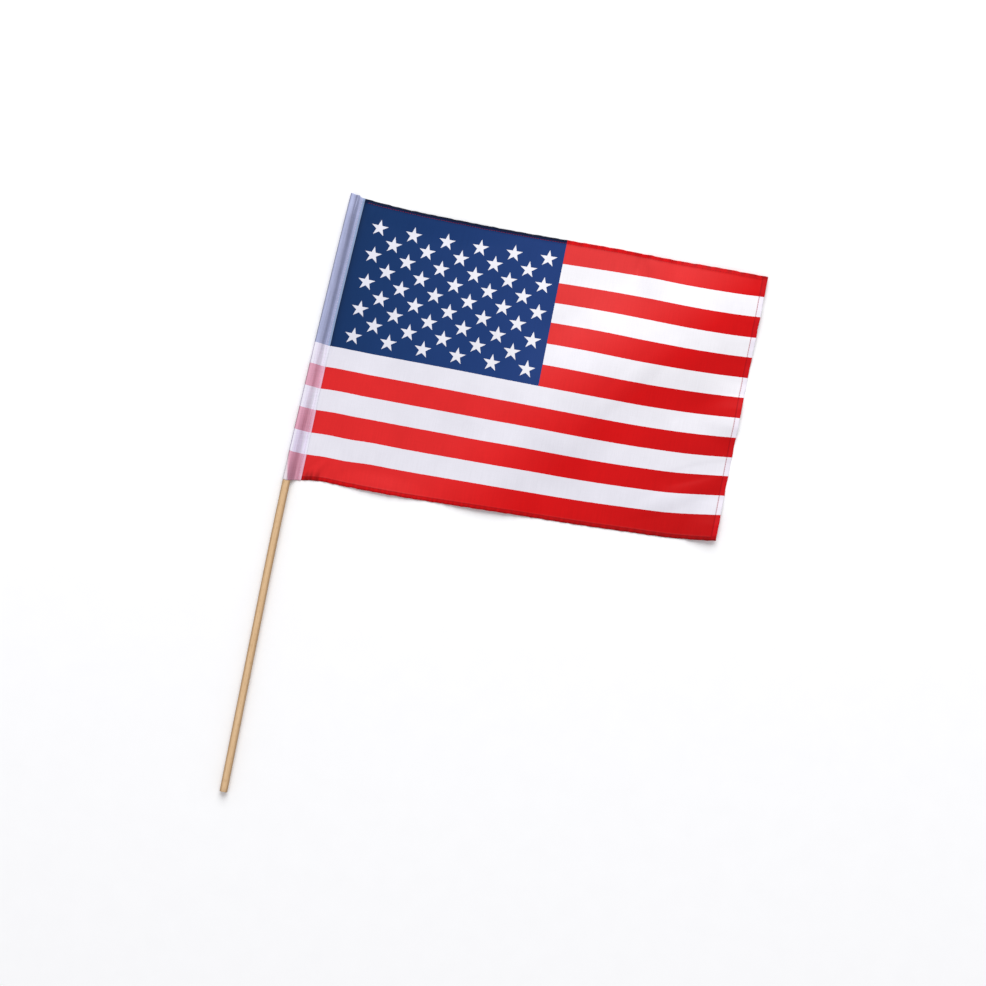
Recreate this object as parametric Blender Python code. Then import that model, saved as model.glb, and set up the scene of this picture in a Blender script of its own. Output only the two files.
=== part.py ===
"""A small national flag on a round wooden stick, lying on a flat surface.

Metres, +Z up. The stick lies along Y with the flag's top towards +Y, and the cloth runs from it
towards +X. The cloth is one piece: its hoist edge is folded over the stick to the front and sewn
down, which makes the sleeve. The shapes are worked out from the mouth of the sleeve, where the
stick leaves it, and then moved so that the origin lies under the middle of the whole.
"""

import math
from collections import namedtuple

import bpy
import numpy as np

# The stick: a plain dowel, straight where it is bare and slightly bowed inside the sleeve.
STICK_LENGTH = 0.600
STICK_RADIUS = 0.004
STICK_BARE = 0.3266
STICK_CHAMFER = 0.0005
STICK_SIDES = 24
BARE_CIRCLES = 6
BOWED_CIRCLES = 24
BOW = 0.0124
BOW_RUN_UP = 0.120

# The cloth: its hoist edge is HOIST long, and its fly edge lies FLY away from the stick's axis.
HOIST = 0.300
FLY = 0.4445
SHEET = 0.001
HEM = 0.004
FLY_HEM = 0.005
HEM_RISE = 0.0006
HEM_STEP = 0.001
GAP = 0.0003

# The sleeve: how far from the stick's axis its sewn edge lies, and how wide the sewn strip is.
# Past the stick's tip it sinks to a share of its height.
SLEEVE_EDGE_BOTTOM = 0.0149
SLEEVE_EDGE_TOP = 0.0112
SLEEVE_STRIP = 0.0045
SLEEVE_END_HEIGHT = 0.55
TIP_ROOM = 0.003
ARC_STEPS = 14

# Faces that meet at a sharper angle than this show an edge.
EDGE_ANGLE = math.radians(35.0)

# Base colours.
PRINT_RED = (0.69, 0.03, 0.03)
PALE_WOOD = (0.69, 0.46, 0.24)

# How far the hoist's bend reaches into the cloth, and how much the fly's middle is drawn down.
BEND_REACH = 0.250
FLY_DROP = 0.020

# Grid of the cloth.
COLUMNS = 36
ROWS = 25

# The cloth's top and bottom edges, as heights above the sleeve's mouth, at places along it.
Section = namedtuple("Section", "along top bottom")
SECTIONS = (
    Section(0.000, 0.3005, 0.0000),
    Section(0.014, 0.2990, 0.0025),
    Section(0.028, 0.2983, 0.0048),
    Section(0.060, 0.2968, 0.0050),
    Section(0.110, 0.2959, 0.0055),
    Section(0.165, 0.2962, 0.0075),
    Section(0.240, 0.2979, 0.0108),
    Section(0.300, 0.2995, 0.0132),
    Section(0.355, 0.2994, 0.0162),
    Section(0.400, 0.3003, 0.0190),
    Section(0.430, 0.3006, 0.0226),
    Section(0.4445, 0.3009, 0.0248),
)

# The soft folds: where each one's middle lies, the way its crest points, and its half size.
Fold = namedtuple("Fold", "x y turn half_length half_width height")
FOLDS = (
    Fold(0.372, 0.232, 40, 0.150, 0.085, 0.0100),
    Fold(0.262, 0.130, 58, 0.130, 0.075, 0.0070),
    Fold(0.207, 0.030, 78, 0.080, 0.060, 0.0045),
    Fold(0.446, 0.034, 60, 0.060, 0.034, 0.0060),
    Fold(0.448, 0.150, 5, 0.050, 0.030, 0.0040),
    Fold(0.330, 0.302, 88, 0.055, 0.026, 0.0035),
    Fold(0.115, 0.298, 3, 0.085, 0.030, 0.0025),
    Fold(0.100, 0.004, 176, 0.055, 0.024, 0.0025),
)


def smooth_step(t):
    """0 below 0, 1 above 1, and an even S curve between."""
    t = np.clip(t, 0.0, 1.0)
    return t * t * (3.0 - 2.0 * t)


def along_sections(column, along):
    """A smooth curve through one column of the section table, with its slopes from the neighbours."""
    places = np.array([section.along for section in SECTIONS])
    values = np.array([getattr(section, column) for section in SECTIONS])
    slopes = np.gradient(values, places)
    k = np.clip(np.searchsorted(places, along) - 1, 0, len(places) - 2)
    step = places[k + 1] - places[k]
    t = np.clip((along - places[k]) / step, 0.0, 1.0)
    blend = smooth_step(t)
    leave = t * (1.0 - t) ** 2 * step * slopes[k]
    arrive = t * t * (1.0 - t) * step * slopes[k + 1]
    return values[k] * (1.0 - blend) + values[k + 1] * blend + leave - arrive


def stick_x(y):
    """The stick's bend towards the fly: nothing on its lower part, then a parabola up to BOW."""
    run = np.clip((y + BOW_RUN_UP) / (HOIST + BOW_RUN_UP), 0.0, None)
    return BOW * run**2


def stick_z(y):
    """The height of the stick's axis: its butt lies on the surface, the sleeve's cloth lifts the rest."""
    in_sleeve = SHEET + GAP + STICK_RADIUS
    rise = np.clip((y + STICK_BARE) / STICK_BARE, 0.0, 1.0)
    return STICK_RADIUS + (in_sleeve - STICK_RADIUS) * rise


def plan(along, up):
    """Where a point of the cloth lies, seen from above.

    along is its distance from the stick's axis, and up runs from 0 at the bottom hem to 1 at the top.
    """
    top = along_sections("top", along)
    bottom = along_sections("bottom", along)
    drop = FLY_DROP * np.clip(along / FLY, 0.0, 1.0) ** 2 * 4.0 * up * (1.0 - up)
    y = bottom + (top - bottom) * (up - drop)
    x = along + stick_x(y) * (1.0 - smooth_step(along / BEND_REACH))
    return x, y


def lift(x, y):
    """How high the folds raise the cloth: each is (1 - d squared) squared over an oval, and 0 outside."""
    height = np.zeros_like(x)
    for fold in FOLDS:
        turn = math.radians(fold.turn)
        lengthwise = (x - fold.x) * math.cos(turn) + (y - fold.y) * math.sin(turn)
        across = (y - fold.y) * math.cos(turn) - (x - fold.x) * math.sin(turn)
        squared = (lengthwise / fold.half_length) ** 2 + (across / fold.half_width) ** 2
        height += fold.height * np.clip(1.0 - squared, 0.0, 1.0) ** 2
    return height


def up_stations():
    """The rows of the cloth's grid, from the bottom hem's edge to the top hem's."""
    hem = np.array([0.0, HEM, HEM + HEM_STEP]) / HOIST
    field = np.linspace(hem[-1], 1.0 - hem[-1], ROWS)
    return np.concatenate([hem[:-1], field, 1.0 - hem[-2::-1]])


def along_stations():
    """The columns of the flat sheet, as shares of the way from the sleeve's edge to the fly's."""
    hem = np.array([0.0, FLY_HEM, FLY_HEM + HEM_STEP]) / FLY
    field = np.linspace(0.0, 1.0 - hem[-1], COLUMNS)
    return np.concatenate([field, 1.0 - hem[-2::-1]])


def sheet_thickness(share, up):
    """One layer in the field, and more where the edge is folded under and sewn."""
    side = np.minimum(up, 1.0 - up) * HOIST
    end = (1.0 - share) * FLY
    inside = np.minimum(smooth_step((side - HEM) / HEM_STEP), smooth_step((end - FLY_HEM) / HEM_STEP))
    return SHEET + HEM_RISE * (1.0 - inside)


def arc(radius, seam_x, seam_z, axis_z):
    """Points round the stick's axis, from where the sewn edge's tangent meets the circle to its lowest.

    The angle of the tangent from the seam's point to a circle is the point's own direction from the
    centre, turned by the angle whose cosine is the radius over the distance.
    """
    distance = math.hypot(seam_x, seam_z - axis_z)
    start = math.atan2(seam_z - axis_z, seam_x) + math.acos(radius / distance)
    turn = np.linspace(start, 1.5 * math.pi, ARC_STEPS + 1)
    return radius * np.cos(turn), axis_z + radius * np.sin(turn)


def sleeve_section(up):
    """The sleeve's outer and inner outlines at one row, as distances along the cloth and heights."""
    edge = SLEEVE_EDGE_BOTTOM + (SLEEVE_EDGE_TOP - SLEEVE_EDGE_BOTTOM) * up**2
    seam = edge - SLEEVE_STRIP
    axis = SHEET + GAP + STICK_RADIUS
    outer_x, outer_z = arc(axis, seam, 2.0 * SHEET, axis)
    inner_x, inner_z = arc(axis - SHEET, seam, SHEET, axis)
    past_tip = (STICK_LENGTH - STICK_BARE + TIP_ROOM) / HOIST
    squash = 1.0 - (1.0 - SLEEVE_END_HEIGHT) * smooth_step((up - past_tip) / (1.0 - past_tip))
    low = np.minimum(outer_z, 2.0 * SHEET)
    outer_z = low + (outer_z - low) * squash
    inner_z = SHEET + (inner_z - SHEET) * squash
    outer = [(edge, 2.0 * SHEET), (seam, 2.0 * SHEET), *zip(outer_x, outer_z), (seam, 0.0)]
    inner = [(seam, SHEET), *zip(inner_x, inner_z)]
    return np.array(outer), np.array(inner), edge


def cloth_rings():
    """For each row of the cloth, its closed outer outline and the closed outline of the stick's channel."""
    outer_rings = []
    inner_rings = []
    shares = along_stations()
    for up in up_stations():
        outer, inner, edge = sleeve_section(up)
        along = edge + (FLY - edge) * shares
        x, y = plan(along, up)
        low = lift(x, y)
        under = np.stack([x, y, low], axis=1)
        over = np.stack([x, y, low + sheet_thickness(shares, up)], axis=1)
        over[0, 2] = SHEET
        sleeve_x, sleeve_y = plan(outer[:, 0], up)
        sleeve = np.stack([sleeve_x, sleeve_y, outer[:, 1]], axis=1)
        channel_x, channel_y = plan(inner[:, 0], up)
        outer_rings.append(np.concatenate([sleeve, under, over[::-1]]))
        inner_rings.append(np.stack([channel_x, channel_y, inner[:, 1]], axis=1))
    return np.array(outer_rings), np.array(inner_rings)


def between_rings(first, count, rings):
    """The four-sided faces that join each ring of points to the next one."""
    faces = []
    for ring in range(rings - 1):
        for k in range(count):
            here = first + ring * count + k
            beside = first + ring * count + (k + 1) % count
            faces.append((here + count, beside + count, beside, here))
    return faces


def cloth_end(outer, inner, outer_count):
    """The faces that close one end of the cloth, between its outline and the channel's mouth.

    The outline starts with the sleeve's sewn edge and seam, goes round the arc and back under the
    seam, runs out below the sheet and comes back above it. outer and inner are the first points' numbers.
    """
    arc_start = outer + 2
    arc_end = arc_start + ARC_STEPS
    seam_under = arc_end + 1
    edge_under = seam_under + 1
    edge_over = outer + outer_count - 1
    columns = (outer_count - ARC_STEPS - 4) // 2
    faces = [(outer + 1, inner, edge_over, outer)]
    faces.append((inner, seam_under, edge_under, edge_over))
    faces.append((arc_start, inner + 1, inner, outer + 1))
    for k in range(ARC_STEPS):
        faces.append((arc_start + k + 1, inner + 2 + k, inner + 1 + k, arc_start + k))
    faces.append((seam_under, inner, inner + 1 + ARC_STEPS, arc_end))
    for k in range(columns - 1):
        faces.append((edge_under + k + 1, edge_over - k - 1, edge_over - k, edge_under + k))
    return faces


def turned(faces):
    """The same faces, seen from the other side."""
    return [face[::-1] for face in faces]


def make_object(name, points, faces, material):
    """One mesh object with its faces shaded smooth but for its sharp edges."""
    mesh = bpy.data.meshes.new(name)
    mesh.from_pydata(points.tolist(), [], faces)
    mesh.shade_smooth()
    mesh.set_sharp_from_angle(angle=EDGE_ANGLE)
    mesh.materials.append(material)
    made = bpy.data.objects.new(name, mesh)
    bpy.context.scene.collection.objects.link(made)
    return made


def make_material(name, colour, roughness, metallic):
    """A Principled BSDF material in one colour."""
    material = bpy.data.materials.new(name)
    material.use_nodes = True
    shader = material.node_tree.nodes["Principled BSDF"]
    shader.inputs["Base Color"].default_value = (*colour, 1.0)
    shader.inputs["Roughness"].default_value = roughness
    shader.inputs["Metallic"].default_value = metallic
    material.diffuse_color = (*colour, 1.0)
    return material


def make_cloth(origin):
    """The flag: a hemmed sheet in soft folds, and the sleeve round the stick, in one closed solid."""
    outer, inner = cloth_rings()
    rows, outer_count = outer.shape[:2]
    inner_count = inner.shape[1]
    inner_first = rows * outer_count
    last_outer = (rows - 1) * outer_count
    last_inner = inner_first + (rows - 1) * inner_count
    faces = between_rings(0, outer_count, rows)
    faces += turned(between_rings(inner_first, inner_count, rows))
    faces += cloth_end(0, inner_first, outer_count)
    faces += turned(cloth_end(last_outer, last_inner, outer_count))
    points = np.concatenate([outer.reshape(-1, 3), inner.reshape(-1, 3)]) - origin
    satin = make_material("satin polyester", PRINT_RED, roughness=0.5, metallic=0.0)
    return make_object("flag_cloth", points, faces, satin)


def stick_rings():
    """Circles across the stick, square to Y, closer together where it bows, and chamfered at both ends."""
    butt = -STICK_BARE
    tip = STICK_LENGTH - STICK_BARE
    bare = np.linspace(butt + STICK_CHAMFER, -BOW_RUN_UP, BARE_CIRCLES)
    bowed = np.linspace(-BOW_RUN_UP, tip - STICK_CHAMFER, BOWED_CIRCLES)[1:]
    y = np.concatenate([[butt], bare, bowed, [tip]])
    radius = np.full(len(y), STICK_RADIUS)
    radius[[0, -1]] -= STICK_CHAMFER
    turn = 2.0 * math.pi * np.arange(STICK_SIDES) / STICK_SIDES
    x = stick_x(y)[:, None] + radius[:, None] * np.cos(turn)
    z = stick_z(y)[:, None] + radius[:, None] * np.sin(turn)
    return np.stack([x, np.broadcast_to(y[:, None], x.shape), z], axis=2)


def make_stick(origin):
    """The dowel: circles joined one to the next, with a flat face at each end."""
    rings = stick_rings()
    rows = len(rings)
    faces = between_rings(0, STICK_SIDES, rows)
    last = (rows - 1) * STICK_SIDES
    faces.append(tuple(range(STICK_SIDES)))
    faces.append(tuple(range(last + STICK_SIDES - 1, last - 1, -1)))
    points = rings.reshape(-1, 3) - origin
    dowel = make_material("sanded dowel", PALE_WOOD, roughness=0.6, metallic=0.0)
    return make_object("stick", points, faces, dowel)


def bottom_centre():
    """The point under the middle of the whole, on the surface."""
    everything = np.concatenate([cloth_rings()[0].reshape(-1, 3), stick_rings().reshape(-1, 3)])
    low = everything.min(axis=0)
    high = everything.max(axis=0)
    return np.array([(low[0] + high[0]) / 2.0, (low[1] + high[1]) / 2.0, low[2]])


for old in list(bpy.data.objects):
    bpy.data.objects.remove(old, do_unlink=True)

ORIGIN = bottom_centre()
make_cloth(ORIGIN)
make_stick(ORIGIN)
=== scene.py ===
"""A small national flag on a round wooden stick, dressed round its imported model.

Metres, in the model's frame: the stick lies along Y, the cloth runs from it towards +X, and both
rest on the floor at z = 0. Shapes are worked out from the sleeve's mouth, where the stick leaves
the cloth, as the model's own are, and moved to the frame at the end.
"""

import math

import bpy
import numpy as np
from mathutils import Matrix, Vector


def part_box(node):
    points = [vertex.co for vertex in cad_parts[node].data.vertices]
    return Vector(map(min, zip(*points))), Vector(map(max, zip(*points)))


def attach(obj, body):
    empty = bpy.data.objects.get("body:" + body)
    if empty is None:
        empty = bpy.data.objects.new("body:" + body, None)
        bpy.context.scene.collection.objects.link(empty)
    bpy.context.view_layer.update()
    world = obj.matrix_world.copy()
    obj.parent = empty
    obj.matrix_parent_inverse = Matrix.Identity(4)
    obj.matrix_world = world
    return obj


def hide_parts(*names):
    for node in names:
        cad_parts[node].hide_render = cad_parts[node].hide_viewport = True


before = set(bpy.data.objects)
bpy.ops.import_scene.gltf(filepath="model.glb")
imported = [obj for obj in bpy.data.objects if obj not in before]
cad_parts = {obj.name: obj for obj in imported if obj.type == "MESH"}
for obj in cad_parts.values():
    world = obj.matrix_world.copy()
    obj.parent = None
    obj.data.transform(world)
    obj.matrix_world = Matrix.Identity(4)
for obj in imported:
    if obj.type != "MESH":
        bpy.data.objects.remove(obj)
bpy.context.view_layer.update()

MM = 0.001

# The stick, as in the model: straight where it is bare, slightly bowed inside the sleeve.
STICK_LENGTH = 600.0 * MM
STICK_RADIUS = 4.0 * MM
STICK_BARE = 326.6 * MM
STICK_CHAMFER = 0.5 * MM
STICK_HEIGHT_IN_SLEEVE = 5.3 * MM
BOW = 12.4 * MM
BOW_RUN_UP = 120.0 * MM
BULGE = 0.9 * MM  # a second, sideways bend that the scene alone has, carried so far into the cloth
BULGE_REACH = 35.0 * MM

# The cloth's outline, as in the model: places along it, and the heights of its two edges there.
HOIST = 300.0 * MM
FLY = 444.5 * MM
BEND_REACH = 250.0 * MM
EDGES = (
    (0.0, 300.5, 0.0),
    (14.0, 299.0, 2.5),
    (28.0, 298.3, 4.8),
    (60.0, 296.8, 5.0),
    (110.0, 295.9, 5.5),
    (165.0, 296.2, 7.5),
    (240.0, 297.9, 10.8),
    (300.0, 299.5, 13.2),
    (355.0, 299.4, 16.2),
    (400.0, 300.3, 19.0),
    (430.0, 300.6, 22.6),
    (444.5, 300.9, 24.8),
)
EDGE_PLACES, EDGE_TOPS, EDGE_BOTTOMS = np.array(EDGES).T * MM

# The soft folds, as in the model: middle x and y, the way the crest points in degrees, half
# length, half width and height, in millimetres.
FOLDS = (
    (372.0, 232.0, 40.0, 150.0, 85.0, 10.0),
    (262.0, 130.0, 58.0, 130.0, 75.0, 7.0),
    (207.0, 30.0, 78.0, 80.0, 60.0, 4.5),
    (446.0, 34.0, 60.0, 60.0, 34.0, 6.0),
    (448.0, 150.0, 5.0, 50.0, 30.0, 4.0),
    (330.0, 302.0, 88.0, 55.0, 26.0, 3.5),
    (115.0, 298.0, 3.0, 85.0, 30.0, 2.5),
    (100.0, 4.0, 176.0, 55.0, 24.0, 2.5),
)

# Small creases of the real cloth on top of them, in the same form. A negative one is a trough.
CREASES = (
    (30.0, 16.0, 62.0, 18.0, 3.2, 1.1),
    (38.0, 14.0, 75.0, 15.0, 2.6, -0.8),
    (46.0, 15.0, 84.0, 16.0, 3.0, 0.9),
    (57.0, 13.0, 100.0, 13.0, 2.8, -0.6),
    (24.0, 20.0, 50.0, 14.0, 2.4, -0.7),
    (314.0, 288.0, 80.0, 20.0, 6.0, -1.6),
    (324.0, 290.0, 98.0, 18.0, 5.0, 1.2),
    (26.0, 284.0, 100.0, 20.0, 3.0, -0.7),
    (34.0, 287.0, 84.0, 16.0, 3.5, 0.7),
    (395.0, 60.0, 32.0, 60.0, 14.0, 1.3),
    (410.0, 88.0, 24.0, 55.0, 12.0, -1.0),
    (330.0, 170.0, 52.0, 90.0, 14.0, 0.9),
    (150.0, 200.0, 66.0, 110.0, 30.0, 1.1),
    (95.0, 90.0, 74.0, 80.0, 26.0, 0.9),
)

# How far the print lies below its even place, in the same form, along the cloth and up it.
PRINT_SHIFTS = (
    (115.0, 148.0, 0.0, 130.0, 100.0, -2.5),
    (270.0, 35.0, 0.0, 190.0, 75.0, 2.2),
    (330.0, 125.0, 0.0, 130.0, 115.0, 2.0),
    (245.0, 210.0, 0.0, 100.0, 75.0, -1.9),
    (398.0, 262.0, 0.0, 75.0, 110.0, 1.9),
    (450.0, 40.0, 0.0, 75.0, 80.0, -1.9),
    (38.0, 20.0, 0.0, 48.0, 75.0, 2.3),
    (90.0, 25.0, 0.0, 100.0, 60.0, 0.7),
    (12.0, 140.0, 0.0, 26.0, 90.0, -1.1),
)

# Halfway up, the print lies lower by the sum of these shares of the hoist: one all along, one that
# grows with the distance along the cloth, and one with its square. Its height grows by PRINT_TALLER
# towards the fly.
PRINT_SAG = (-0.0141, 0.0138, 0.0078)
PRINT_TALLER = 0.036

# The sleeve is turned round the stick a little askew, so its print climbs between two places.
CLIMB_AT_FOOT = 1.3 * MM
CLIMB_MORE_ABOVE = 1.2 * MM
CLIMB_FROM = 11.0 * MM
CLIMB_TO = -4.4 * MM

# One layer of the cloth, and how much thicker its folded and sewn edges are.
CLOTH = 0.25 * MM
HEM_THICKER = 0.28 * MM
HEM = 4.0 * MM
FLY_HEM = 5.0 * MM
HEM_STEP = 1.2 * MM
FLOOR_GAP = 0.05 * MM
HEM_WAVER = 0.30 * MM
HEM_WAVER_REACH = 5.0 * MM
GATHER_HEIGHT = 0.35 * MM
GATHER_REACH = 7.0 * MM
FLY_GATHER_REACH = 10.0 * MM

# The stitches' pitches, and the share of a pitch that each stitch covers.
HEM_STITCH = 2.7 * MM
HEM_STITCH_SHARE = 0.78
SEAM_STITCH = 2.9 * MM
SEAM_STITCH_SHARE = 0.80
SEAM_IN = 0.62
THREAD_LIFT = 0.10 * MM
THREAD_RADIUS = 0.16 * MM

# The sleeve: the cloth goes over the stick to the front, and a strip of it is sewn down there.
SLEEVE_EDGE_BOTTOM = 14.0 * MM
SLEEVE_EDGE_MIDDLE = 11.7 * MM
SLEEVE_EDGE_TOP = 11.2 * MM
SLEEVE_NARROWS_UP_TO = 0.62
SLEEVE_CREASE_FROM = 0.62
SLEEVE_HEM_THICKER = 0.25 * MM
SLEEVE_STRIP = 4.5 * MM
STRIP_TOP = 0.70 * MM
UNDER_STRIP = 1.2 * CLOTH
TUBE_HALF_WIDTH = 4.35 * MM
TUBE_HALF_HEIGHT = 4.85 * MM
TUBE_CENTRE = 4.92 * MM
TUBE_START = math.radians(30.0)
SLEEVE_END_HEIGHT = 0.50
UNPRINTED_UP_TO = 32.0 * MM
UNPRINTED_WIDTH = 5.4 * MM

# The sleeve's painted shades, and from where to where the single layer spans the hollow beside
# the stick.
STRIP_SHADE = 0.40
SPAN_SHADE = 0.60
CREASE_SHADE = 0.90
RIM_SHADE = 1.65
SPAN_FROM = -2.9 * MM
SPAN_TO = 7.9 * MM
SPAN_FARTHER_AT_FOOT = 1.3 * MM

# The columns of points across the sleeve: on the sewn strip, the slope, the tube and the floor.
STRIP_COLUMNS = 6
SLOPE_COLUMNS = 14
TUBE_COLUMNS = 30
FLOOR_COLUMNS = 7

# The print, measured on the cloth from the bottom hem upwards and from the stick outwards.
PRINT_STRAIGHT = 28.0 * MM
STRIPE = 21.95 * MM
BOTTOM_STRIPE_TOP = 27.1 * MM
WHITE_SHARE = 0.491
CANTON_WIDTH = 235.3 * MM
CANTON_FOOT = BOTTOM_STRIPE_TOP + (4.0 + 2.0 * WHITE_SHARE) * STRIPE
STAR_RADIUS = 9.5 * MM
FIRST_STAR_ALONG = 33.6 * MM
FIRST_STAR_UP = 271.4 * MM
STAR_ALONG = 37.2 * MM
STAR_DOWN = 30.1 * MM

# The picture is this wide where the cloth lies, and its middle and turn are these. The light is
# pointed at the flag's middle.
PICTURE_WIDTH = 1013.0 * MM
PICTURE_MIDDLE = (-8.9 * MM, 40.9 * MM)
PICTURE_TURN = math.radians(11.3)
FLAG_MIDDLE = (0.0, 120.0 * MM, 0.0)
LENS = 100.0
SENSOR = 36.0

# The kinds of node that work out sums and that mix a second colour over a first one by a share,
# and the settings of the latter: the second colour covers the first, or is multiplied with it.
MATH = "ShaderNodeMath"
MIX = "ShaderNodeMix"
COVERED = {"data_type": "RGBA"}
MULTIPLIED = {"data_type": "RGBA", "blend_type": "MULTIPLY"}

# Where the sleeve's mouth lies in the model's frame.
MOUTH_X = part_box("flag_cloth")[1][0] - FLY
MOUTH_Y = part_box("stick")[0][1] + STICK_BARE


def smooth_step(t):
    """0 below 0, 1 above 1, and an even S curve between."""
    t = np.clip(t, 0.0, 1.0)
    return t * t * (3.0 - 2.0 * t)


def bell(place, middle, reach):
    """e to the power of minus the square of (the distance from the middle, over the reach)."""
    return np.exp(-(((place - middle) / reach) ** 2))


def through_sections(values, along):
    """A smooth curve through an edge's heights, each slope worked out from its neighbours."""
    slopes = np.gradient(values, EDGE_PLACES)
    k = np.clip(np.searchsorted(EDGE_PLACES, along) - 1, 0, len(EDGE_PLACES) - 2)
    step = EDGE_PLACES[k + 1] - EDGE_PLACES[k]
    t = np.clip((along - EDGE_PLACES[k]) / step, 0.0, 1.0)
    blend = smooth_step(t)
    leave = t * (1.0 - t) ** 2 * step * slopes[k]
    arrive = t * t * (1.0 - t) * step * slopes[k + 1]
    return values[k] * (1.0 - blend) + values[k + 1] * blend + leave - arrive


def stick_x(y):
    """The stick's bend towards the fly: nothing on its lower part, then a parabola up to BOW."""
    run = np.clip((y + BOW_RUN_UP) / (HOIST + BOW_RUN_UP), 0.0, None)
    return BOW * run**2


def bulge(y):
    """A slight sideways bend of the stick and its sleeve on top of the bow: half a sine wave."""
    return BULGE * np.sin(math.pi * np.clip(y / HOIST, 0.0, 1.0))


def stick_z(y):
    """The height of the stick's axis: its butt lies on the floor, and the cloth lifts the rest."""
    rise = np.clip((y + STICK_BARE) / STICK_BARE, 0.0, 1.0)
    return STICK_RADIUS + (STICK_HEIGHT_IN_SLEEVE - STICK_RADIUS) * rise


def ripple(t, wave, seed):
    """An uneven wave between about -1 and 1: four sines whose lengths have no common measure."""
    turn = 2.0 * math.pi * t / wave
    return (
        0.42 * np.sin(turn + seed)
        + 0.28 * np.sin(1.73 * turn + 2.1 * seed)
        + 0.20 * np.sin(0.61 * turn + 3.7 * seed)
        + 0.14 * np.sin(2.89 * turn + 5.3 * seed)
    )


def top_shift(along):
    """How far the top hem lies from its even line.

    It has two shallow dips, and the sleeve's end stands proud, with a notch over the stick.
    """
    dips = 0.6 * bell(along, 45.0 * MM, 40.0 * MM) + 0.55 * bell(along, 325.0 * MM, 28.0 * MM)
    sleeve = 1.35 * smooth_step((7.0 * MM - along) / (2.5 * MM))
    notch = 0.9 * bell(along, 0.5 * MM, 2.2 * MM)
    return (sleeve - notch - dips - 0.35) * MM


def plan(along, up):
    """Where a point of the cloth lies, seen from above. Up is 0 at the foot and 1 at the top.

    The height runs evenly between the two edges, and the stick's bow is carried into the cloth less
    and less up to BEND_REACH. The hems waver, which dies away within a few millimetres of them.
    """
    top = through_sections(EDGE_TOPS, along)
    bottom = through_sections(EDGE_BOTTOMS, along)
    y = bottom + (top - bottom) * up
    x = along + stick_x(y) * (1.0 - smooth_step(along / BEND_REACH))
    x = x + bulge(y) * (1.0 - smooth_step(along / BULGE_REACH))
    near_top = np.exp(-(1.0 - up) * HOIST / HEM_WAVER_REACH)
    y = y + near_top * top_shift(along)
    near_bottom = np.exp(-up * HOIST / HEM_WAVER_REACH)
    near_fly = np.exp(-np.maximum(FLY - along, 0.0) / HEM_WAVER_REACH)
    y = y + HEM_WAVER * near_top * ripple(along, 17.0 * MM, 1.3)
    y = y + HEM_WAVER * near_bottom * ripple(along, 15.0 * MM, 4.4)
    return x + HEM_WAVER * near_fly * ripple(y, 24.0 * MM, 2.7), y


def oval_relief(x, y, ovals):
    """A sum of soft ovals, each its height times (1 - d squared) squared inside, and 0 outside."""
    height = np.zeros(np.broadcast(x, y).shape)
    for middle_x, middle_y, turn, half_length, half_width, rise in ovals:
        cos, sin = math.cos(math.radians(turn)), math.sin(math.radians(turn))
        across_x, across_y = x / MM - middle_x, y / MM - middle_y
        lengthwise = (across_x * cos + across_y * sin) / half_length
        crosswise = (across_y * cos - across_x * sin) / half_width
        height += rise * MM * np.clip(1.0 - lengthwise**2 - crosswise**2, 0.0, 1.0) ** 2
    return height


def hem_share(along, up):
    """1 on the folded and sewn edges, 0 on the single cloth, with a step HEM_STEP wide between."""
    side = np.minimum(up, 1.0 - up) * HOIST
    inside_side = smooth_step((side - HEM) / HEM_STEP)
    inside_fly = smooth_step((FLY - along - FLY_HEM) / HEM_STEP)
    return 1.0 - np.minimum(inside_side, inside_fly)


def gathers(along, up):
    """Puckers along the hems: uneven waves that die away into the cloth, higher by the sleeve."""
    top = np.exp(-(1.0 - up) * HOIST / GATHER_REACH) * ripple(along, 11.0 * MM, 0.7)
    bottom = np.exp(-up * HOIST / GATHER_REACH) * ripple(along, 10.0 * MM, 3.1)
    fly = np.exp(-(FLY - along) / FLY_GATHER_REACH) * ripple(up * HOIST, 19.0 * MM, 1.9)
    near_sleeve = 1.0 + 1.2 * np.exp(-along / (35.0 * MM))
    return GATHER_HEIGHT * (1.0 + (top + bottom) * near_sleeve + fly)


def relief(along, up):
    """How high the cloth's underside is above the floor, away from the sleeve."""
    x, y = plan(along, up)
    height = oval_relief(x, y, FOLDS) + oval_relief(x, y, CREASES) + gathers(along, up)
    return FLOOR_GAP + np.maximum(height, 0.0)


def thickness(along, up):
    """One layer, and more on the hems."""
    return CLOTH + HEM_THICKER * hem_share(along, up)


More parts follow.
